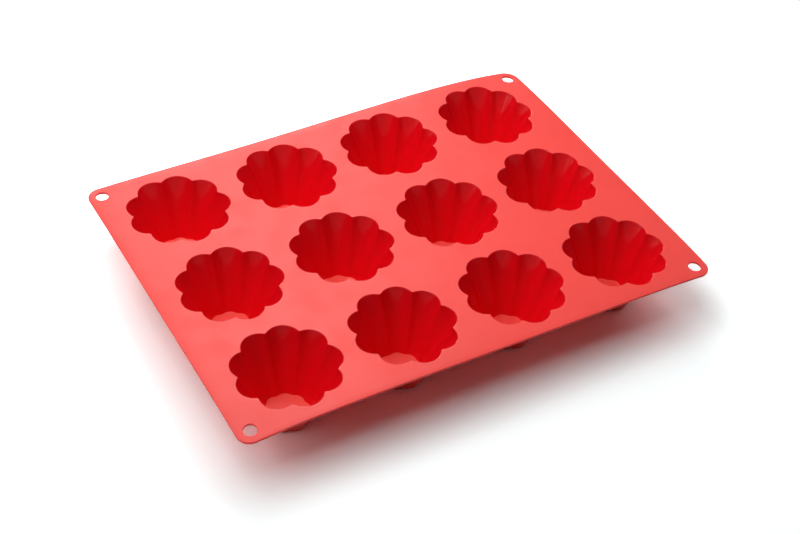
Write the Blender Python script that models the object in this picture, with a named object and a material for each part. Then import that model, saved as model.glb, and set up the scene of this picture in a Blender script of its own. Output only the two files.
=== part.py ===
"""Silicone muffin mould: one thin flat deck with twelve tapering fluted cups hanging from it.

Metres, +Z up. The origin is under the middle of the deck, on the surface that the cups stand on.
+X runs along the four columns and +Y from the front row to the back row.
Each cup is a fluted wall and a round panel in the middle of its floor. A thumb under the panel
pushes it straight up to loosen a cake, so each panel keeps its origin on its own upright axis.
"""
import math

import bmesh
import bpy

# Layout of the cups
COLUMNS = 4
ROWS = 3
COLUMN_WEB = 0.0102          # flat deck left between the widest points of two cups along X
ROW_WEB = 0.0108             # the same along Y

# Cup, measured on its inside
FLUTES = 9
RIM_LOBE_RADIUS = 0.0335     # cup axis to the outermost point of a flute at the deck's top face
RIM_FLUTE_DEPTH = 0.0046     # how far the ridge between two flutes stands in at the rim
FLOOR_LOBE_RADIUS = 0.0145   # the same two sizes at the cup's floor
FLOOR_FLUTE_DEPTH = 0.0015
CUP_DEPTH = 0.0400           # deck's top face down to the top of the cup's floor
FRONT_FLUTE_TURN = -math.pi / 2   # one flute of every cup points to the front

# Silicone thickness
WALL_THICKNESS = 0.0015
FLOOR_THICKNESS = 0.0015
DECK_THICKNESS = 0.0015

# Deck
END_MARGIN = 0.0144          # deck left outside the cups at its two short ends
SIDE_MARGIN = 0.0083         # deck left outside the cups along its two long sides
CORNER_RADIUS = 0.0088
CORNER_HOLE_RADIUS = 0.0041
CORNER_HOLE_INSET = 0.0088   # hole centre to each of the two deck edges beside it

# Foot of the cup
HEEL_WIDTH = 0.0015          # flat floor that stays with the wall, inside the ridges
BASE_EDGE_WIDTH = 0.0011     # slanted outer edge between the standing ring and the wall

# Clearance between touching pieces
SEAM_GAP = 0.0003

# Fineness of the round outlines
SEGMENTS_PER_FLUTE = 6
CORNER_SEGMENTS = 6
HOLE_SEGMENTS = 20

# Silicone finish
SILICONE_COLOUR = (0.78, 0.02, 0.022, 1.0)
SILICONE_ROUGHNESS = 0.42
SILICONE_METALLIC = 0.0

# Sizes that follow
COLUMN_PITCH = 2 * RIM_LOBE_RADIUS + COLUMN_WEB
ROW_PITCH = 2 * RIM_LOBE_RADIUS + ROW_WEB
HALF_LENGTH = COLUMN_PITCH * (COLUMNS - 1) / 2 + RIM_LOBE_RADIUS + END_MARGIN
HALF_WIDTH = ROW_PITCH * (ROWS - 1) / 2 + RIM_LOBE_RADIUS + SIDE_MARGIN
DECK_TOP = FLOOR_THICKNESS + CUP_DEPTH
DECK_UNDERSIDE = DECK_TOP - DECK_THICKNESS
WALL_TOP = DECK_UNDERSIDE - SEAM_GAP
LOBE_SLOPE = (RIM_LOBE_RADIUS - FLOOR_LOBE_RADIUS) / CUP_DEPTH
WALL_ACROSS = WALL_THICKNESS * math.hypot(1.0, LOBE_SLOPE)   # thickness measured level
OUTLINE_POINTS = FLUTES * SEGMENTS_PER_FLUTE
HEEL_RADIUS = FLOOR_LOBE_RADIUS - FLOOR_FLUTE_DEPTH - HEEL_WIDTH
PANEL_RADIUS = HEEL_RADIUS - SEAM_GAP


def clear_scene():
    for item in list(bpy.data.objects):
        bpy.data.objects.remove(item, do_unlink=True)


def make_silicone():
    material = bpy.data.materials.new("red_silicone")
    material.use_nodes = True
    shader = material.node_tree.nodes["Principled BSDF"]
    shader.inputs["Base Color"].default_value = SILICONE_COLOUR
    shader.inputs["Roughness"].default_value = SILICONE_ROUGHNESS
    shader.inputs["Metallic"].default_value = SILICONE_METALLIC
    material.diffuse_color = SILICONE_COLOUR
    return material


def cup_centres():
    """Row, column and centre of every cup; row 1 is the front row, column 1 is on the left."""
    for row in range(ROWS):
        for column in range(COLUMNS):
            x = (column - (COLUMNS - 1) / 2) * COLUMN_PITCH
            y = (row - (ROWS - 1) / 2) * ROW_PITCH
            yield row + 1, column + 1, x, y


def fluted_outline(lobe_radius, flute_depth, grow=0.0):
    """Points round a cup at one height.

    Each flute is an arc that runs from ridge to ridge and touches the lobe radius in its middle.
    grow moves the whole outline outwards by that distance, which keeps the arcs' centres.
    """
    half_turn = math.pi / FLUTES
    ridge_radius = lobe_radius - flute_depth
    centre = (lobe_radius ** 2 - ridge_radius ** 2) / (
        2 * (lobe_radius - ridge_radius * math.cos(half_turn)))
    arc_radius = lobe_radius - centre + grow
    # The arc ends on the line through the ridge, so its half angle follows from the sine rule.
    sweep = half_turn + math.asin(centre * math.sin(half_turn) / arc_radius)
    points = []
    for flute in range(FLUTES):
        turn = FRONT_FLUTE_TURN + flute * 2 * half_turn
        for step in range(SEGMENTS_PER_FLUTE):
            angle = turn - sweep + 2 * sweep * step / SEGMENTS_PER_FLUTE
            x = centre * math.cos(turn) + arc_radius * math.cos(angle)
            y = centre * math.sin(turn) + arc_radius * math.sin(angle)
            points.append((x, y))
    return points


def cup_outline(height, grow=0.0):
    """Inside of the cup's wall at a height above the standing surface, straight from floor to rim."""
    share = (height - FLOOR_THICKNESS) / CUP_DEPTH
    lobe = FLOOR_LOBE_RADIUS + (RIM_LOBE_RADIUS - FLOOR_LOBE_RADIUS) * share
    flute = FLOOR_FLUTE_DEPTH + (RIM_FLUTE_DEPTH - FLOOR_FLUTE_DEPTH) * share
    return fluted_outline(lobe, flute, grow)


def circle(radius, count, first_angle=0.0):
    step = 2 * math.pi / count
    return [
        (radius * math.cos(first_angle + k * step), radius * math.sin(first_angle + k * step))
        for k in range(count)]


def panel_circle(radius):
    """A circle with as many points as a cup outline, starting at the same ridge."""
    return circle(radius, OUTLINE_POINTS, FRONT_FLUTE_TURN - math.pi / FLUTES)


def add_object(name, mesh, location=(0.0, 0.0, 0.0)):
    piece = bpy.data.objects.new(name, mesh)
    piece.location = location
    bpy.context.scene.collection.objects.link(piece)
    return piece


def finish_mesh(bm, name, material):
    """Faces outwards, smooth round sides with crisp edges, one silicone material."""
    bmesh.ops.recalc_face_normals(bm, faces=bm.faces[:])
    mesh = bpy.data.meshes.new(name)
    bm.to_mesh(mesh)
    bm.free()
    mesh.materials.append(material)
    mesh.shade_smooth()
    mesh.set_sharp_from_angle(angle=math.radians(35))
    return mesh


def add_ring(bm, points, height):
    return [bm.verts.new((x, y, height)) for x, y in points]


def bridge(bm, first, second):
    """Quads between two rings that have the same number of points."""
    count = len(first)
    for k in range(count):
        after = (k + 1) % count
        bm.faces.new((first[k], first[after], second[after], second[k]))


def make_wall_mesh(material):
    """A fluted tapering shell whose foot turns in to a narrow heel round the floor panel."""
    outer_base = cup_outline(0.0, WALL_ACROSS - BASE_EDGE_WIDTH)
    bm = bmesh.new()
    rings = [
        add_ring(bm, cup_outline(WALL_TOP), WALL_TOP),
        add_ring(bm, cup_outline(WALL_TOP, WALL_ACROSS), WALL_TOP),
        add_ring(bm, cup_outline(BASE_EDGE_WIDTH, WALL_ACROSS), BASE_EDGE_WIDTH),
        add_ring(bm, outer_base, 0.0),
        add_ring(bm, panel_circle(HEEL_RADIUS), 0.0),
        add_ring(bm, panel_circle(HEEL_RADIUS), FLOOR_THICKNESS),
        add_ring(bm, cup_outline(FLOOR_THICKNESS), FLOOR_THICKNESS)]
    for k, ring in enumerate(rings):
        bridge(bm, ring, rings[(k + 1) % len(rings)])
    return finish_mesh(bm, "cup_wall", material)


def make_panel_mesh(material):
    """The round middle of a cup's floor, which the thumb pushes up."""
    bm = bmesh.new()
    low = add_ring(bm, panel_circle(PANEL_RADIUS), 0.0)
    high = add_ring(bm, panel_circle(PANEL_RADIUS), FLOOR_THICKNESS)
    bm.faces.new(low[::-1])
    bm.faces.new(high)
    bridge(bm, low, high)
    return finish_mesh(bm, "cup_floor", material)


def deck_border():
    """The deck's outer edge: a rectangle with four round corners."""
    points = []
    for quarter, (side_x, side_y) in enumerate(((1, 1), (-1, 1), (-1, -1), (1, -1))):
        centre_x = side_x * (HALF_LENGTH - CORNER_RADIUS)
        centre_y = side_y * (HALF_WIDTH - CORNER_RADIUS)
        for step in range(CORNER_SEGMENTS + 1):
            angle = (quarter + step / CORNER_SEGMENTS) * math.pi / 2
            points.append((
                centre_x + CORNER_RADIUS * math.cos(angle),
                centre_y + CORNER_RADIUS * math.sin(angle)))
    return points


def moved(points, x, y):
    return [(x + px, y + py) for px, py in points]


def deck_loops(height):
    """The deck's border, its four corner holes and its twelve cup rims at one height."""
    hole_x = HALF_LENGTH - CORNER_HOLE_INSET
    hole_y = HALF_WIDTH - CORNER_HOLE_INSET
    loops = [deck_border()]
    for side_x in (-1, 1):
        for side_y in (-1, 1):
            loops.append(moved(
                circle(CORNER_HOLE_RADIUS, HOLE_SEGMENTS), side_x * hole_x, side_y * hole_y))
    rim = cup_outline(height)
    loops.extend(moved(rim, x, y) for _, _, x, y in cup_centres())
    return loops


def make_deck_mesh(material):
    """A flat sheet filled between its border and its openings, which taper as the cups do."""
    bm = bmesh.new()
    top_rings = [add_ring(bm, loop, DECK_TOP) for loop in deck_loops(DECK_TOP)]
    edges = []
    for ring in top_rings:
        for k, vertex in enumerate(ring):
            edges.append(bm.edges.new((vertex, ring[(k + 1) % len(ring)])))
    bmesh.ops.triangle_fill(bm, edges=edges, use_beauty=True, normal=(0.0, 0.0, 1.0))
    top_faces = bm.faces[:]
    low_rings = [add_ring(bm, loop, DECK_UNDERSIDE) for loop in deck_loops(DECK_UNDERSIDE)]
    below = {}
    for top_ring, low_ring in zip(top_rings, low_rings):
        below.update(zip(top_ring, low_ring))
        bridge(bm, top_ring, low_ring)
    for face in top_faces:
        bm.faces.new([below[vertex] for vertex in reversed(face.verts)])
    return finish_mesh(bm, "deck_sheet", material)


def build():
    clear_scene()
    silicone = make_silicone()
    add_object("deck_sheet", make_deck_mesh(silicone))
    wall_mesh = make_wall_mesh(silicone)
    panel_mesh = make_panel_mesh(silicone)
    for row, column, x, y in cup_centres():
        place = f"r{row}c{column}"
        add_object(f"cup_wall_{place}", wall_mesh, (x, y, 0.0))
        add_object(f"cup_floor_{place}", panel_mesh, (x, y, 0.0))


build()
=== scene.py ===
import math

import bmesh
import bpy
import numpy as np
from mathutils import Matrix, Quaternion, Vector


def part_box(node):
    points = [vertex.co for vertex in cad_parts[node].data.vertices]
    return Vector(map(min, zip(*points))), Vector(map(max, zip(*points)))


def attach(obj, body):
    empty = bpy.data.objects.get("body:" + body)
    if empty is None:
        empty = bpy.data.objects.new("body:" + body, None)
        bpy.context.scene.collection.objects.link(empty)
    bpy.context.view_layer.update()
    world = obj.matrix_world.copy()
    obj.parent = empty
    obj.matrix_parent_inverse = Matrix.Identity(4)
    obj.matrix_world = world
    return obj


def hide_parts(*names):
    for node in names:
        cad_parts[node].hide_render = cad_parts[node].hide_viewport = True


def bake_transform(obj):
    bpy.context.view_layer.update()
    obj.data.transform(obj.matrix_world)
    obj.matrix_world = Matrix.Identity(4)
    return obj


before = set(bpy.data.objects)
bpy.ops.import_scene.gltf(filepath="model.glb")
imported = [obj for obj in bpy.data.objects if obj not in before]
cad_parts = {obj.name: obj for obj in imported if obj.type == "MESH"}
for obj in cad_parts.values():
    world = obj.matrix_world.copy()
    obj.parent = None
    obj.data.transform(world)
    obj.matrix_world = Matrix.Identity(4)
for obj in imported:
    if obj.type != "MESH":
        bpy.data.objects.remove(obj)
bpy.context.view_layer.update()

deckLow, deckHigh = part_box("deck_sheet")
halfLength, halfWidth, deckTop = deckHigh.x, deckHigh.y, deckHigh.z
deckUnderside = deckLow.z
print(f"frame loaded, deck {2 * halfLength:.4f} x {2 * halfWidth:.4f} m")

# the camera that the picture was taken with: metres, and millimetres for lens and sensor
camera = {
    "place": (-0.39352, -0.62426, 0.68644),
    "aim": (-0.01525, -0.03186, 0.0400),
    "roll": 4.671,               # degrees that the picture's right side is turned up
    "lens": 69.246,
    "sensor": 36.0,
    "clip": (0.01, 50.0),
}


def addCamera(look):
    data = bpy.data.cameras.new("camera")
    data.lens = look["lens"]
    data.sensor_width = look["sensor"]
    data.clip_start, data.clip_end = look["clip"]
    eye = bpy.data.objects.new("camera", data)
    bpy.context.scene.collection.objects.link(eye)
    forward = (Vector(look["aim"]) - Vector(look["place"])).normalized()
    turn = Quaternion(forward, -math.radians(look["roll"]))
    eye.location = look["place"]
    eye.rotation_mode = "QUATERNION"
    eye.rotation_quaternion = turn @ forward.to_track_quat("-Z", "Y")
    bpy.context.scene.camera = eye


addCamera(camera)
print("camera set")

# one cup, the same sizes as the CAD's, in metres
cup = {
    "lobes": 9,
    "frontLobe": 270.0,          # degrees, one lobe of every cup points to the front
    "rimLobe": 0.0335,           # axis to the middle of a lobe at the deck's top face
    "rimFlute": 0.0046,          # how far a ridge stands in from the lobes there
    "floorLobe": 0.0145,
    "floorFlute": 0.0015,
    "floorTop": 0.0015,
    "depth": 0.0400,
    "wall": 0.00166,             # silicone of the wall, measured level
    "ridgeRound": 0.0015,        # roundness of a ridge seen from inside the cup, at the rim
    "ridgeRoundLow": 0.0055,     # and at the floor
    "grooveRound": 0.0008,       # and of the same ridge's groove seen from outside
    "rimRound": 0.00055,         # soft edge between deck and cup
    "floorRound": 0.0008,        # corner between wall and floor inside
    "footRound": 0.0024,         # outer edge of the foot
    "flareRound": 0.0012,        # fillet between the wall's outside and the deck's underside
    "rimPoints": 5,              # points round the rim and round the flare
    "footPoints": 7,             # points round the floor's corner and round the foot
    "insideRings": 30,
    "outsideRings": 22,
    "floorShares": (0.0, 0.12, 0.3, 0.52, 0.74, 0.9, 0.97),    # rings of the floor, inside
    "underShares": (0.96, 0.7, 0.35, 0.0),                     # and under it
    "raySteps": 8,               # rays from a ridge or a lobe's middle to halfway between them
    "rayCrowding": 1.6,          # above 1 the rays crowd at ridges and lobe middles
    "rayDecimals": 7,            # rays that agree to so many decimals of a degree are one
}
slope = (cup["rimLobe"] - cup["floorLobe"]) / cup["depth"]
lean = math.pi / 2 - math.atan(slope)      # turn between the level and the leaning wall

# how the soft deck hangs between and outside its cups, in metres at the deck's ends
slack = {
    "dip": 0.00178,              # the middle lies below a ring round it by this
    "dipAcross": 0.57,           # share of that dip which runs across the deck
    "edgeDroop": 0.00329,        # the free edges fall away by this
    "droopAcross": 0.29,
    "twist": 0.00301,            # left front and right back against the other two corners
    "twistFade": 1.14,           # loss of the twist towards the two ends
    "rightDroop": 0.00164,
    "cornerDroop": 0.00145,      # more at the very corners
    "cornerPower": 5,
    "tiltRight": 0.00090,
    "tiltBack": -0.00023,
    "wallPower": 1.5,            # how soon a wall's hang fades towards the table
    "peakPlaces": (67, 49),      # places along and across the deck among which the peak is sought
}


# Height that the slack gives the deck, with u and v the shares of the half length and half width:
# dip (u2 + dipAcross v2) - edgeDroop (u4 + droopAcross v4) + twist u v (1 - twistFade u2)
# - rightDroop u3 - cornerDroop |u v| to the power cornerPower, and a small level tilt.
def slackHeight(x, y):
    u, v = x / halfLength, y / halfWidth
    dip = slack["dip"] * (u ** 2 + slack["dipAcross"] * v ** 2)
    edges = slack["edgeDroop"] * (u ** 4 + slack["droopAcross"] * v ** 4)
    twist = slack["twist"] * u * v * (1 - slack["twistFade"] * u ** 2)
    corners = slack["cornerDroop"] * np.abs(u * v) ** slack["cornerPower"]
    return (dip - edges + twist - slack["rightDroop"] * u ** 3 - corners
            + slack["tiltRight"] * u + slack["tiltBack"] * v)


# The highest place of the hanging deck is as high as the CAD's deck.
peakX, peakY = np.meshgrid(np.linspace(-halfLength, halfLength, slack["peakPlaces"][0]),
                           np.linspace(-halfWidth, halfWidth, slack["peakPlaces"][1]))
slackPeak = slackHeight(peakX, peakY).max()


# The deck moves with its slack, and a wall less and less towards the table, where it stands:
# the share is the height over that of the deck's underside, at most 1, to the power wallPower.
def hang(points):
    share = np.clip(points[..., 2] / deckUnderside, 0.0, 1.0) ** slack["wallPower"]
    lowered = points.copy()
    lowered[..., 2] += share * (slackHeight(points[..., 0], points[..., 1]) - slackPeak)
    return lowered


# Distance from a cup's axis to its wall along a ray. A lobe is an arc about a centre between the
# axis and the lobe, and runs from ridge to ridge. A circle of the radius roundness, outside both
# arcs beside a ridge and touching them, replaces the sharp ridge. outward moves the outline out
# from the wall's inside and keeps the arcs' centres.
def wallRadius(ray, height, outward, roundness):
    share = (height - cup["floorTop"]) / cup["depth"]
    lobe = cup["floorLobe"] + (cup["rimLobe"] - cup["floorLobe"]) * share
    ridge = lobe - cup["floorFlute"] - (cup["rimFlute"] - cup["floorFlute"]) * share
    half = math.pi / cup["lobes"]
    centre = (lobe ** 2 - ridge ** 2) / (2 * (lobe - ridge * math.cos(half)))
    arc = lobe - centre + outward
    fromLobe = np.mod(ray - math.radians(cup["frontLobe"]) + half, 2 * half) - half
    onArc = centre * np.cos(fromLobe) + np.sqrt(arc ** 2 - (centre * np.sin(fromLobe)) ** 2)
    along, across = centre * math.cos(half), centre * math.sin(half)
    circle = along + np.sqrt((arc + roundness) ** 2 - across ** 2)
    touch = np.arctan2(across * roundness / (arc + roundness),
                       along + (circle - along) * arc / (arc + roundness))
    fromRidge = half - np.abs(fromLobe)
    inside = np.clip(roundness ** 2 - (circle * np.sin(fromRidge)) ** 2, 0.0, None)
    onCircle = circle * np.cos(fromRidge) - np.sqrt(inside)
    return np.where(fromRidge < touch, onCircle, onArc)


# Rays round a cup. From every ridge and every lobe's middle they lie on both sides at the shares
# (k / steps) to the power crowding of the way to halfway between the two. The set is its own
# mirror image both ways, so neighbouring cells meet point on point.
def cupRays(extra=()):
    apart = 180 / cup["lobes"]
    share = (np.arange(cup["raySteps"] + 1) / cup["raySteps"]) ** cup["rayCrowding"]
    step = apart / 2 * share
    middles = cup["frontLobe"] + np.arange(2 * cup["lobes"]) * apart
    rays = (middles[:, None] + np.concatenate([step, -step])[None, :]).ravel()
    rays = np.concatenate([rays, np.degrees(np.asarray(extra, float))])
    return np.radians(np.unique(np.round(np.mod(rays, 360.0), cup["rayDecimals"])))


# A quarter fillet between a level face and the leaning wall: at the turn t the surface stands
# tangent length - radius sin t outside the corner and radius (1 - cos t) off the level face.
# Returned are the steps off the face, those outside the corner and the tangent length.
def filletSteps(radius, count):
    turn = np.linspace(0.0, lean, count)
    away = radius * (1 - np.cos(turn))
    tangent = radius * math.tan(lean / 2)
    return away, tangent - radius * np.sin(turn), tangent


# The round edge of the deck's sheet: from the top face a quarter circle turns down, a short
# upright side follows, and a quarter circle turns back under. Returned are the level steps from
# where the rounding starts, and the heights.
def sheetEdge(radius, count):
    turn = np.linspace(0, math.pi / 2, count)
    out, down = radius * np.sin(turn), radius * (1 - np.cos(turn))
    return (np.concatenate([out, out[::-1]]),
            np.concatenate([deckTop - down, deckUnderside + down[::-1]]))


# how every mesh is closed and shaded
finishing = {
    "mergeWithin": 2e-6,         # metres between points of two patches that are one
    "sharpFrom": 38,             # degrees between faces whose edge isn't smoothed
}


# Four-cornered faces between each ring of a grid and the next, for the rays in keep or for all.
def gridFaces(rows, columns, keep=None):
    k = np.arange((rows - 1) * columns).reshape(rows - 1, columns)
    after = np.roll(np.arange(columns), -1)[None, :] + np.arange(rows - 1)[:, None] * columns
    faces = np.stack([k, after, after + columns, k + columns], axis=-1)
    return (faces if keep is None else faces[:, keep]).reshape(-1, 4)


# A patch is a grid of points, rings by rays, whose last ray joins the first one.
# keep says which rays carry a face to the next ray, slot which material a ring's faces take.
def makePiece(name, patches, materials):
    points, faces, slots, start = [], [], [], 0
    for grid, keep, slot in patches:
        rows, columns = grid.shape[:2]
        part = gridFaces(rows, columns, keep)
        points.append(grid.reshape(-1, 3))
        faces.append(part + start)
        slots.append(np.repeat(np.broadcast_to(slot, rows - 1), len(part) // (rows - 1)))
        start += rows * columns
    points, faces, slots = np.concatenate(points), np.concatenate(faces), np.concatenate(slots)
    mesh = bpy.data.meshes.new(name)
    mesh.vertices.add(len(points))
    mesh.vertices.foreach_set("co", points.astype(np.float32).ravel())
    mesh.loops.add(faces.size)
    mesh.loops.foreach_set("vertex_index", faces.astype(np.int32).ravel())
    mesh.polygons.add(len(faces))
    mesh.polygons.foreach_set("loop_start", np.arange(0, faces.size, 4, dtype=np.int32))
    mesh.polygons.foreach_set("material_index", slots.astype(np.int32))
    mesh.update(calc_edges=True)
    bm = bmesh.new()
    bm.from_mesh(mesh)
    bmesh.ops.remove_doubles(bm, verts=bm.verts, dist=finishing["mergeWithin"])
    bmesh.ops.recalc_face_normals(bm, faces=bm.faces)
    bm.to_mesh(mesh)
    bm.free()
    edgeOfLoop = np.zeros(len(mesh.loops), np.int32)
    mesh.loops.foreach_get("edge_index", edgeOfLoop)
    openEdges = np.count_nonzero(np.bincount(edgeOfLoop) != 2)
    mesh.shade_smooth()
    mesh.set_sharp_from_angle(angle=math.radians(finishing["sharpFrom"]))
    for material in materials:
        mesh.materials.append(material)
    piece = bpy.data.objects.new(name, mesh)
    bpy.context.scene.collection.objects.link(piece)
    print(name, len(mesh.polygons), "faces,", openEdges, "open edges")
    return piece


# silicone: satin on the deck, where the steel of the mould was blasted, and shiny on the cups'
# walls;
# one silicone painted in three colours: paler on the deck for painted light and sheen, deep red on
# the walls for painted shade, and palest on the cups' floors for painted light deep in the cups
silicone = {
    # the satin colour is painted paler: painted light and sheen on the level deck
    "satin": {"colour": (0.95, 0.029, 0.017, 1.0), "roughness": 0.45, "grainSize": 0.0007,
              "grainHeight": 1.0, "bloom": 0.10, "index": 1.55, "glow": 0.12},
    # the gloss colour is painted darker: painted shade on the steep walls
    "gloss": {"colour": (0.78, 0.003, 0.009, 1.0), "roughness": 0.10, "grainSize": 0.0016,
              "grainHeight": 0.22, "bloom": 0.06, "index": 1.35, "glow": 0.05},
    # the floors' paler colour is painted light: it makes up for the light lost deep in each cup
    "paintedLitFloor": {"colour": (0.98, 0.064, 0.048, 1.0), "roughness": 0.40, "grainSize": 0.0010,
               "grainHeight": 0.8, "bloom": 0.15, "index": 1.55, "glow": 0.12},
    "glowDepth": 0.0020,         # how far the light scatters inside the silicone
    "glowColours": (1.0, 0.06, 0.05),
    "clouds": {"Scale": 16.0, "Detail": 3.0},
    "cloudShade": {"From Min": 0.3, "From Max": 0.7, "To Min": 0.96, "To Max": 1.04},
    "dust": {"Scale": 55.0, "Detail": 5.0, "Roughness": 0.62},
    "dustEdge": {"From Min": 0.42, "From Max": 0.72},
    "grain": {"Detail": 3.0, "Roughness": 0.6},
    "relief": {"Strength": 0.35, "Distance": 0.00006},
}
satinSlot, glossSlot, paintedLitFloorSlot = range(3)


def setInputs(node, values):
    for name, value in values.items():
        node.inputs[name].default_value = value
    return node


# Result of a math node, whose inputs are other nodes' outputs or numbers.
def addMath(nodes, links, operation, *values):
    node = nodes.new("ShaderNodeMath")
    node.operation = operation
    for socket, value in zip(node.inputs, values):
        if isinstance(value, bpy.types.NodeSocket):
            links.new(value, socket)
        else:
            socket.default_value = value
    return node.outputs["Value"]


# Shared look of moulded silicone: large soft clouds change the colour a little, a fine grain makes
# the relief, and a thin bloom of dust raises the roughness in patches.
def siliconeGroup():
    group = bpy.data.node_groups.new("siliconeSurface", "ShaderNodeTree")
    for name, kind, way in (("Colour", "Color", "INPUT"), ("Roughness", "Float", "INPUT"),
                            ("Grain size", "Float", "INPUT"), ("Grain height", "Float", "INPUT"),
                            ("Bloom", "Float", "INPUT"), ("Colour", "Color", "OUTPUT"),
                            ("Roughness", "Float", "OUTPUT"), ("Height", "Float", "OUTPUT")):
        group.interface.new_socket(name=name, in_out=way, socket_type="NodeSocket" + kind)
    nodes, links = group.nodes, group.links
    given = nodes.new("NodeGroupInput").outputs
    made = nodes.new("NodeGroupOutput").inputs
    place = nodes.new("ShaderNodeTexCoord").outputs["Object"]

    clouds = setInputs(nodes.new("ShaderNodeTexNoise"), silicone["clouds"])
    links.new(place, clouds.inputs["Vector"])
    shade = setInputs(nodes.new("ShaderNodeMapRange"), silicone["cloudShade"])
    links.new(clouds.outputs["Fac"], shade.inputs["Value"])
    tint = nodes.new("ShaderNodeVectorMath")
    tint.operation = "SCALE"
    links.new(given["Colour"], tint.inputs[0])
    links.new(shade.outputs["Result"], tint.inputs["Scale"])
    links.new(tint.outputs["Vector"], made["Colour"])

    dust = setInputs(nodes.new("ShaderNodeTexNoise"), silicone["dust"])
    links.new(place, dust.inputs["Vector"])
    patches = setInputs(nodes.new("ShaderNodeMapRange"), silicone["dustEdge"])
    links.new(dust.outputs["Fac"], patches.inputs["Value"])
    dusty = addMath(nodes, links, "MULTIPLY_ADD",
                    patches.outputs["Result"], given["Bloom"], given["Roughness"])
    links.new(dusty, made["Roughness"])

    grain = setInputs(nodes.new("ShaderNodeTexNoise"), silicone["grain"])
    links.new(place, grain.inputs["Vector"])
    links.new(addMath(nodes, links, "DIVIDE", 1.0, given["Grain size"]), grain.inputs["Scale"])
    height = addMath(nodes, links, "MULTIPLY", grain.outputs["Fac"], given["Grain height"])
    links.new(height, made["Height"])
    return group


surfaceGroup = siliconeGroup()


def makeSilicone(name, finish):
    material = bpy.data.materials.new(name)
    material.use_nodes = True
    nodes, links = material.node_tree.nodes, material.node_tree.links
    surface = nodes.new("ShaderNodeGroup")
    surface.node_tree = surfaceGroup
    setInputs(surface, {"Colour": finish["colour"], "Roughness": finish["roughness"],
                        "Grain size": finish["grainSize"], "Grain height": finish["grainHeight"],
                        "Bloom": finish["bloom"]})
    relief = setInputs(nodes.new("ShaderNodeBump"), silicone["relief"])
    links.new(surface.outputs["Height"], relief.inputs["Height"])
    shader = setInputs(nodes["Principled BSDF"], {
        "IOR": finish["index"], "Subsurface Weight": finish["glow"],
        "Subsurface Scale": silicone["glowDepth"], "Subsurface Radius": silicone["glowColours"]})
    links.new(surface.outputs["Colour"], shader.inputs["Base Color"])
    links.new(surface.outputs["Roughness"], shader.inputs["Roughness"])
    links.new(relief.outputs["Normal"], shader.inputs["Normal"])
    return material


# one silicone in three colours: painted light and sheen on the deck, painted shade on the walls,
# painted light on the cups' floors
satinSilicone = makeSilicone("satinSilicone", silicone["satin"])
glossSilicone = makeSilicone("glossSilicone", silicone["gloss"])
paintedLitFloorSilicone = makeSilicone("paintedLitFloorSilicone", silicone["paintedLitFloor"])
print("silicone materials made")

# the flat sheet and its four corner holes, in metres
deck = {
    "cornerRadius": 0.0088,
    "holeRadius": 0.0041,
    "holeInset": 0.0088,         # hole centre to both edges beside it
    "notch": 0.0175,             # side of the square at each corner that is laid round the hole
    "edgeRound": 0.00035,
    "edgePoints": 5,             # points round each of the edge's two quarter circles
    "holeRound": 0.00025,
    "holePoints": 4,
    "cornerPoints": 15,          # points of a round corner
    "sidePoints": 5,             # and of the straight border from it to the square's end
    "topShares": (1.0, 0.66, 0.36, 0.14, 0.04, 0.0),   # rings from a cell's border to its rim
    "backShares": (0.3, 1.0),    # and back under the deck to the border
    "holeShares": (1.0, 0.5, 0.15, 0.04),              # rings from the square's border to its hole
    "wallStep": 0.0002,          # rings so near its ends keep the rim's upright part straight
    "leastRound": 0.0003,        # least roundness of a ridge at the rim
}
insetLength, insetWidth = halfLength - deck["edgeRound"], halfWidth - deck["edgeRound"]
cornerX, cornerY = halfLength - deck["cornerRadius"], halfWidth - deck["cornerRadius"]
notchX, notchY = halfLength - deck["notch"], halfWidth - deck["notch"]
holeX, holeY = halfLength - deck["holeInset"], halfWidth - deck["holeInset"]
samePlace = 1e-7                 # metres within which a point lies on a line
notZero = 1e-12                  # keeps a division by a sine or cosine from failing


# Level direction out of the deck at its border: away from the straight sides, and away from the
# centre of the round corner within one. Also says which points lie on the border.
def borderOutward(x, y):
    outX, outY = np.clip(np.abs(x) - cornerX, 0, None), np.clip(np.abs(y) - cornerY, 0, None)
    reach = np.hypot(outX, outY)
    safe = np.where(reach > 0, reach, 1.0)
    onBorder = np.abs(reach - (deck["cornerRadius"] - deck["edgeRound"])) < samePlace
    return np.sign(x) * outX / safe, np.sign(y) * outY / safe, onBorder


# The deck's edge, from the top face round to the underside, at the points that lie on the border.
def edgeStrip(x, y):
    outX, outY, onBorder = borderOutward(x, y)
    out, height = sheetEdge(deck["edgeRound"], deck["edgePoints"])
    out, height = out[:, None], height[:, None]
    grid = np.stack([x + out * outX, y + out * outY, height + 0 * x], axis=-1)
    return grid, onBorder & np.roll(onBorder, -1), satinSlot


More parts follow.
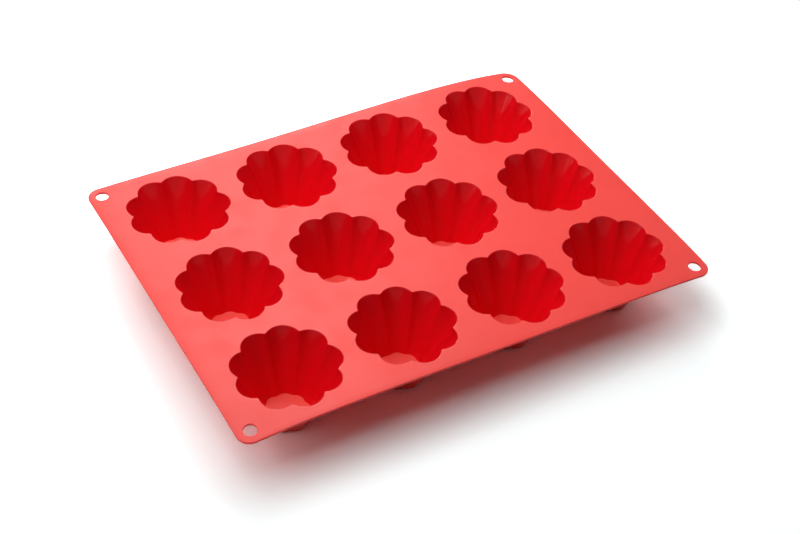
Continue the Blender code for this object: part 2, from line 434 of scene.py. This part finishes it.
# One cell of the deck round a cup. Rays run from the cup's axis; on each one the points go from
# the cell's border over the top face to the rim, round its soft edge, down the wall and back under
# the deck to the border. In a corner cell the rays stop at the square that holds the hole.
def deckCell(x0, y0, left, right, front, back):
    corners = np.array([(right, back), (-left, back), (-left, -front), (right, -front)])
    notches = []
    for corner in corners:
        at = corner + (x0, y0)
        if abs(at[0]) > notchX and abs(at[1]) > notchY:
            notches.append(np.sign(at) * (notchX, notchY) - (x0, y0))
    extra = np.arctan2(corners[:, 1], corners[:, 0]).tolist()
    for nx, ny in notches:
        outerX, outerY = np.sign(nx) * insetLength - x0, np.sign(ny) * insetWidth - y0
        extra += [math.atan2(ny, nx), math.atan2(outerY, nx), math.atan2(ny, outerX)]
    ray = cupRays(extra)
    cosine, sine = np.cos(ray), np.sin(ray)
    perX, perY = np.maximum(np.abs(cosine), notZero), np.maximum(np.abs(sine), notZero)
    reach = np.minimum(np.where(cosine > 0, right, left) / perX,
                       np.where(sine > 0, back, front) / perY)
    atNotch = np.zeros(len(ray), bool)
    for nx, ny in notches:
        facing = (cosine * nx > 0) & (sine * ny > 0)
        entry = np.maximum(np.abs(nx) / perX, np.abs(ny) / perY)
        atNotch |= facing & (entry < reach + samePlace)
        reach = np.where(facing, np.minimum(reach, entry), reach)

    away, outward, _ = filletSteps(cup["rimRound"], cup["rimPoints"])
    top, under, step = deck["topShares"], deck["backShares"], deck["wallStep"]
    upright = [deckTop - away[-1] - step, deckUnderside + step, deckUnderside]
    heights = np.concatenate([np.full(len(top), deckTop), deckTop - away[1:], upright,
                              np.full(len(under), deckUnderside)])
    outwards = np.concatenate([np.full(len(top), outward[0]), (outward + away * slope)[1:],
                               np.zeros(len(upright) + len(under))])
    toBorder = np.concatenate([top, np.zeros(len(away) - 1 + len(upright)), under])
    roundness = np.clip(cup["ridgeRound"] - outwards, deck["leastRound"], None)
    near = np.stack([wallRadius(ray, h, o, r) for h, o, r in zip(heights, outwards, roundness)])
    radius = near + (reach[None, :] - near) * toBorder[:, None]
    grid = np.stack([x0 + radius * cosine, y0 + radius * sine,
                     heights[:, None] + 0 * radius], axis=-1)
    slots = np.full(len(heights) - 1, satinSlot)
    slots[len(top) - 1:len(slots) - len(under)] = glossSlot
    border = grid[0]
    return [(grid, None, slots), edgeStrip(border[:, 0], border[:, 1])], border[atNotch]


# The square at a corner, laid round its hole: rays from the hole's centre end on the points that
# the corner cell has on the square's two inner sides, and on the deck's own border.
def cornerPatch(signX, signY, shared):
    arc = np.radians(np.linspace(0, 90, deck["cornerPoints"]))
    radius = deck["cornerRadius"] - deck["edgeRound"]
    arcX, arcY = cornerX + radius * np.cos(arc), cornerY + radius * np.sin(arc)
    sideX = np.linspace(notchX, cornerX, deck["sidePoints"])[1:-1]
    sideY = np.linspace(notchY, cornerY, deck["sidePoints"])[1:-1]
    outerX = np.concatenate([arcX, sideX, np.full(len(sideY), insetLength)]) * signX
    outerY = np.concatenate([arcY, np.full(len(sideX), insetWidth), sideY]) * signY
    x = np.concatenate([shared[:, 0], outerX])
    y = np.concatenate([shared[:, 1], outerY])
    angle = np.arctan2(y - signY * holeY, x - signX * holeX)
    order = np.argsort(angle)
    x, y, angle = x[order], y[order], angle[order]
    inward, holeHeight = sheetEdge(deck["holeRound"], deck["holePoints"])
    holeRing = deck["holeRadius"] + (deck["holeRound"] - inward)
    ringX = signX * holeX + holeRing[:, None] * np.cos(angle)
    ringY = signY * holeY + holeRing[:, None] * np.sin(angle)
    shares = np.array(deck["holeShares"])[:, None]
    topX, topY = ringX[0] + (x - ringX[0]) * shares, ringY[0] + (y - ringY[0]) * shares
    gridX = np.concatenate([topX, ringX, topX[::-1]])
    gridY = np.concatenate([topY, ringY, topY[::-1]])
    heights = np.concatenate([np.full(len(shares), deckTop), holeHeight,
                              np.full(len(shares), deckUnderside)])
    grid = np.stack([gridX, gridY, heights[:, None] + 0 * gridX], axis=-1)
    return [(grid, None, satinSlot), edgeStrip(x, y)]


# The cups' places come from the frame, row 1 in front and column 1 on the left. The deck's cells
# meet halfway between them.
rowCount, columnCount = 3, 4
cupBoxes = {f"r{row}c{column}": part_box(f"cup_floor_r{row}c{column}")
            for row in range(1, rowCount + 1) for column in range(1, columnCount + 1)}
cupCentres = {place: ((low.x + high.x) / 2, (low.y + high.y) / 2)
              for place, (low, high) in cupBoxes.items()}
micrometre = 6                   # decimals of a metre
columnAt = sorted({round(x, micrometre) for x, _ in cupCentres.values()})
rowAt = sorted({round(y, micrometre) for _, y in cupCentres.values()})
betweenX = [-insetLength] + [(a + b) / 2 for a, b in zip(columnAt, columnAt[1:])] + [insetLength]
betweenY = [-insetWidth] + [(a + b) / 2 for a, b in zip(rowAt, rowAt[1:])] + [insetWidth]


def makeDeck():
    patches = []
    for y0, front, back in zip(rowAt, betweenY, betweenY[1:]):
        for x0, left, right in zip(columnAt, betweenX, betweenX[1:]):
            cell, shared = deckCell(x0, y0, x0 - left, right - x0, y0 - front, back - y0)
            patches += cell
            if len(shared):
                patches += cornerPatch(np.sign(x0), np.sign(y0), shared)
    patches = [(hang(grid), keep, slot) for grid, keep, slot in patches]
    piece = makePiece("softDeck", patches, [satinSilicone, glossSilicone])
    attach(piece, "mould")
    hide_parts("deck_sheet")


makeDeck()


# One cup as one skin: rings from the floor's middle out to the wall, round the corner, up the
# inside, over the top, round the flare under the deck, down the outside, round the foot and back
# in under the floor. Each ring is the wall's outline at its height, moved outward and scaled.
# Returned with them are the number of the floor's last ring and how many rings lie inside.
def cupRings():
    wall, floorTop = cup["wall"], cup["floorTop"]
    away, out, tangent = filletSteps(cup["floorRound"], cup["footPoints"])
    rings = [(floorTop, -tangent, share) for share in cup["floorShares"]]
    rings += [(floorTop + a, -o - slope * a, 1.0) for a, o in zip(away, out)]
    floorEnd = len(rings) - 1
    upInside = np.linspace(floorTop + away[-1], deckUnderside, cup["insideRings"])[1:]
    rings += [(height, 0.0, 1.0) for height in upInside]
    inner = len(rings)
    away, out, _ = filletSteps(cup["flareRound"], cup["rimPoints"])
    rings += [(deckUnderside - a, wall + o + slope * a, 1.0) for a, o in zip(away, out)]
    flareEnd = deckUnderside - away[-1]
    away, out, tangent = filletSteps(cup["footRound"], cup["footPoints"])
    downOutside = np.linspace(flareEnd, away[-1], cup["outsideRings"])[1:-1]
    rings += [(height, wall, 1.0) for height in downOutside]
    rings += [(a, wall - o - slope * a, 1.0) for a, o in zip(away[::-1], out[::-1])]
    rings += [(0.0, wall - tangent, share) for share in cup["underShares"]]
    return np.array(rings), floorEnd, inner


# Inside the cup the roundness of a ridge grows from the rim's to the floor's value with the square
# root of the depth's share.
def makeCup(place):
    x0, y0 = cupCentres[place]
    ray = cupRays()
    rings, floorEnd, inner = cupRings()
    depth = np.clip((deckUnderside - rings[:, 0]) / (deckUnderside - cup["floorTop"]), 0.0, 1.0)
    ridge = cup["ridgeRound"] + (cup["ridgeRoundLow"] - cup["ridgeRound"]) * np.sqrt(depth)
    roundness = np.where(np.arange(len(rings)) < inner, ridge, cup["grooveRound"])
    radius = np.stack([share * wallRadius(ray, height, outward, rounding)
                       for (height, outward, share), rounding in zip(rings, roundness)])
    grid = hang(np.stack([x0 + radius * np.cos(ray), y0 + radius * np.sin(ray),
                          rings[:, :1] + 0 * radius], axis=-1))
    step = np.arange(len(rings) - 1)
    # the floor's rings take the colour painted paler for light in the cups' bottoms, the inside
    # walls the one painted darker for shade
    slots = np.where(step < floorEnd, paintedLitFloorSlot, np.where(step < inner - 1, glossSlot, satinSlot))
    finishes = [satinSilicone, glossSilicone, paintedLitFloorSilicone]
    piece = makePiece("cup_" + place, [(grid, None, slots)], finishes)
    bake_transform(piece)
    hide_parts("cup_wall_" + place, "cup_floor_" + place)


for place in cupCentres:
    makeCup(place)

# a grey paper floor that the camera sees as white, and seven softboxes
studio = {
    "floorHalf": 6.0,
    "floorDrop": 0.0002,         # keeps the floor clear of the cups' feet
    "paper": {"Base Color": (0.72, 0.72, 0.72, 1.0), "Roughness": 0.9, "Specular IOR Level": 0.0},
    # its red is lower than its green and blue, which paints out part of the mould's red bounce
    # light in the shadow
    "floorSeen": {"Color": (1.54, 1.66, 1.66, 1.0)},     # whiter than paper, near the mould
    "whiteFrom": {"From Min": 0.28, "From Max": 0.50},   # metres from the middle to plain white
    "skyLight": 0.04,
    "backdrop": {"From Min": -0.1, "From Max": 0.4, "To Min": 0.28},
    "middle": (0.0, 0.0, 0.03),  # what every lamp points at
    "lamps": {                   # place, side of the square and watts
        "keySoftbox": ((0.00, 0.20, 0.42), 0.25, 0.59),
        "sheenSoftbox": ((0.31, 1.14, 0.55), 0.60, 4.9),
        "highLeftSoftbox": ((-0.65, 0.00, 1.13), 0.90, 4.1),
        "lowLeftSoftbox": ((-1.07, 0.00, 0.75), 0.80, 2.4),
        "topSoftbox": ((-0.20, 0.20, 0.85), 0.50, 1.5),
        "rightSoftbox": ((0.92, 0.00, 0.92), 0.80, 2.8),
        "backSoftbox": ((0.38, 0.66, 0.64), 0.40, 0.55),
    },
}


# 1 for the camera's own rays, and 1 for those of reflections and glass; all other light has 0
def seenRays(nodes, links):
    path = nodes.new("ShaderNodeLightPath").outputs
    mirrored = addMath(nodes, links, "MAXIMUM", path["Is Glossy Ray"], path["Is Transmission Ray"])
    return path["Is Camera Ray"], mirrored


# The mould gets a grey floor's light. The camera and reflections see the floor brighter, so that
# it is white outside the mould's shadow, and farther out it is white by itself.
def addFloor(look):
    half, drop = look["floorHalf"], -look["floorDrop"]
    mesh = bpy.data.meshes.new("floor")
    mesh.from_pydata([(-half, -half, drop), (half, -half, drop), (half, half, drop),
                      (-half, half, drop)], [], [(0, 1, 2, 3)])
    material = bpy.data.materials.new("paleFloor")
    material.use_nodes = True
    nodes, links = material.node_tree.nodes, material.node_tree.links
    paper = setInputs(nodes["Principled BSDF"], look["paper"])
    bright = setInputs(nodes.new("ShaderNodeBsdfDiffuse"), look["floorSeen"])
    white = nodes.new("ShaderNodeEmission")
    distance = nodes.new("ShaderNodeVectorMath")
    distance.operation = "LENGTH"
    links.new(nodes.new("ShaderNodeTexCoord").outputs["Object"], distance.inputs[0])
    fade = setInputs(nodes.new("ShaderNodeMapRange"), look["whiteFrom"])
    fade.interpolation_type = "SMOOTHSTEP"
    links.new(distance.outputs["Value"], fade.inputs["Value"])
    seen = nodes.new("ShaderNodeMixShader")
    links.new(fade.outputs["Result"], seen.inputs["Fac"])
    links.new(bright.outputs["BSDF"], seen.inputs[1])
    links.new(white.outputs["Emission"], seen.inputs[2])
    choice = nodes.new("ShaderNodeMixShader")
    seenAtAll = addMath(nodes, links, "MAXIMUM", *seenRays(nodes, links))
    links.new(seenAtAll, choice.inputs["Fac"])
    links.new(paper.outputs["BSDF"], choice.inputs[1])
    links.new(seen.outputs["Shader"], choice.inputs[2])
    links.new(choice.outputs["Shader"], nodes["Material Output"].inputs["Surface"])
    mesh.materials.append(material)
    floor = bpy.data.objects.new("floor", mesh)
    bpy.context.scene.collection.objects.link(floor)


def addLamp(name, place, side, watts):
    lamp = bpy.data.lights.new(name, "AREA")
    lamp.shape = "SQUARE"
    lamp.size = side
    lamp.energy = watts
    holder = bpy.data.objects.new(name, lamp)
    bpy.context.scene.collection.objects.link(holder)
    holder.location = place
    way = Vector(studio["middle"]) - Vector(place)
    holder.rotation_mode = "QUATERNION"
    holder.rotation_quaternion = way.to_track_quat("-Z", "Y")


# White backdrop behind the mould and a dark room in front of it, which only reflections tell apart:
# their share goes from the room's to 1 where the direction's Y runs over the backdrop's edge.
def addSky(look):
    world = bpy.data.worlds.new("studio")
    world.use_nodes = True
    nodes, links = world.node_tree.nodes, world.node_tree.links
    sky = setInputs(nodes["Background"], {"Color": (1.0, 1.0, 1.0, 1.0)})
    direction = nodes.new("ShaderNodeSeparateXYZ")
    links.new(nodes.new("ShaderNodeTexCoord").outputs["Generated"], direction.inputs["Vector"])
    backdrop = setInputs(nodes.new("ShaderNodeMapRange"), look["backdrop"])
    links.new(direction.outputs["Y"], backdrop.inputs["Value"])
    seen, mirrored = seenRays(nodes, links)
    shown = addMath(nodes, links, "MULTIPLY", mirrored, backdrop.outputs["Result"])
    strength = setInputs(nodes.new("ShaderNodeMapRange"), {"To Min": look["skyLight"]})
    links.new(addMath(nodes, links, "MAXIMUM", seen, shown), strength.inputs["Value"])
    links.new(strength.outputs["Result"], sky.inputs["Strength"])
    bpy.context.scene.world = world


addFloor(studio)
for lampName, setting in studio["lamps"].items():
    addLamp(lampName, *setting)
addSky(studio)
bpy.context.scene.view_settings.view_transform = "Standard"
print("floor and light set")
